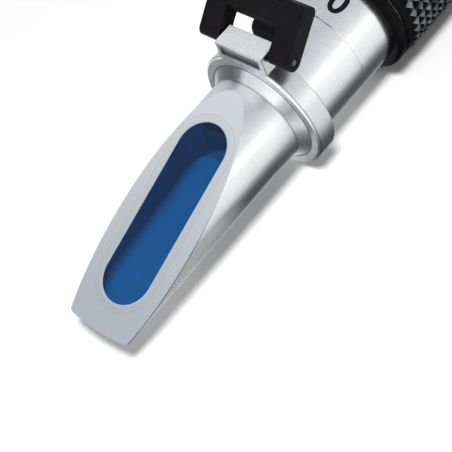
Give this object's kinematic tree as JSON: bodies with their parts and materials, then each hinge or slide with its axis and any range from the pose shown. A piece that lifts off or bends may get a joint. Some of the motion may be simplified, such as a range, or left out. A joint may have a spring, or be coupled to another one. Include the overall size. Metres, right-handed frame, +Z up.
{
  "type": "hand-held refractometer",
  "caption": "Hand-held optical refractometer: slanted prism nose with a hinged daylight plate, capped calibration screw, rubber-gripped tube and focusing eyepiece with a soft eyecup.",
  "frame": {"origin": "on the bench, under the middle of the instrument's length and on its plane of symmetry; the bench is the tangent plane under the hinge collar and the grip", "axes": "+X along the tube towards the eyepiece, +Z up from the bench towards the prism's face and the hinge, +Y to the left of someone who looks along +X"},
  "size_m": [0.1674, 0.029, 0.0729],
  "materials": {
    "hinge_collar": "satin",
    "front_body": "satin",
    "main_tube": "satin",
    "nose_housing": "satin",
    "nose_ring": "matte",
    "prism": "polished",
    "prism_seal": "matte",
    "prism_cradle": "matte",
    "hinge_pin": "satin",
    "hinge_bracket": "matte",
    "daylight_plate": "gloss",
    "calibration_insert": "satin",
    "calibration_screw": "satin",
    "screw_cap": "matte",
    "lens_carrier": "matte",
    "bimetal_strip": "satin",
    "strip_rivets": "satin",
    "lens_cell": "matte",
    "objective_crown": "polished",
    "objective_flint": "polished",
    "cell_ring": "matte",
    "return_spring": "satin",
    "baffles": "matte",
    "scale_holder": "matte",
    "scale_disc": "polished",
    "scale_ring": "matte",
    "rubber_grip": "matte",
    "rear_bush": "satin",
    "ring_clip": "satin",
    "focus_ring": "satin",
    "eyepiece_barrel": "matte",
    "drive_pins": "satin",
    "field_lens": "polished",
    "eye_lens": "polished",
    "lens_spacer": "matte",
    "eyepiece_retainer": "matte",
    "eyecup": "matte"
  },
  "bodies": {
    "housing": {"hinge_collar": "hinge_collar", "front_body": "front_body", "main_tube": "main_tube", "nose_housing": "nose_housing", "nose_ring": "nose_ring", "prism": "prism", "prism_seal": "prism_seal", "prism_cradle": "prism_cradle", "hinge_pin": "hinge_pin", "calibration_insert": "calibration_insert", "screw_cap": "screw_cap", "return_spring": "return_spring", "baffles": "baffles", "scale_holder": "scale_holder", "scale_disc": "scale_disc", "scale_ring": "scale_ring", "rubber_grip": "rubber_grip", "rear_bush": "rear_bush", "ring_clip": "ring_clip"},
    "flip_plate": {"hinge_bracket": "hinge_bracket", "daylight_plate": "daylight_plate"},
    "calibration_screw": {"calibration_screw": "calibration_screw"},
    "lens_carrier": {"lens_carrier": "lens_carrier", "bimetal_strip": "bimetal_strip", "strip_rivets": "strip_rivets", "lens_cell": "lens_cell", "objective_crown": "objective_crown", "objective_flint": "objective_flint", "cell_ring": "cell_ring"},
    "focus_ring": {"focus_ring": "focus_ring"},
    "eyepiece": {"eyepiece_barrel": "eyepiece_barrel", "drive_pins": "drive_pins", "field_lens": "field_lens", "eye_lens": "eye_lens", "lens_spacer": "lens_spacer", "eyepiece_retainer": "eyepiece_retainer", "eyecup": "eyecup"}
  },
  "joints": [
    {"name": "plate_hinge", "type": "hinge", "parent": "housing", "child": "flip_plate", "pos_m": [-0.02598, 0, 0.03095], "axis": [0, -1, 0], "range_deg": [-20, 157.3]},
    {"name": "lens_shift", "type": "slide", "parent": "housing", "child": "lens_carrier", "axis": [0, 0, 1], "range_m": [-0.00035, 0.00035], "deforming": ["return_spring"]},
    {"name": "calibration_turn", "type": "hinge", "parent": "lens_carrier", "child": "calibration_screw", "pos_m": [-0.01938, 0, 0.02825], "axis": [0, 0, 1], "range_deg": [-360, 360]},
    {"name": "focus_turn", "type": "hinge", "parent": "housing", "child": "focus_ring", "pos_m": [0.06412, 0, 0.0145], "axis": [1, 0, 0], "range_deg": [-90, 90]},
    {"name": "eyepiece_slide", "type": "slide", "parent": "focus_ring", "child": "eyepiece", "axis": [1, 0, 0], "range_m": [-0.0015, 0.0015]}
  ],
  "couplings": [
    {"joint": "calibration_turn", "follows": "lens_shift", "rad_per_m": 17952},
    {"joint": "eyepiece_slide", "follows": "focus_turn", "m_per_rad": 0.00095493}
  ]
}
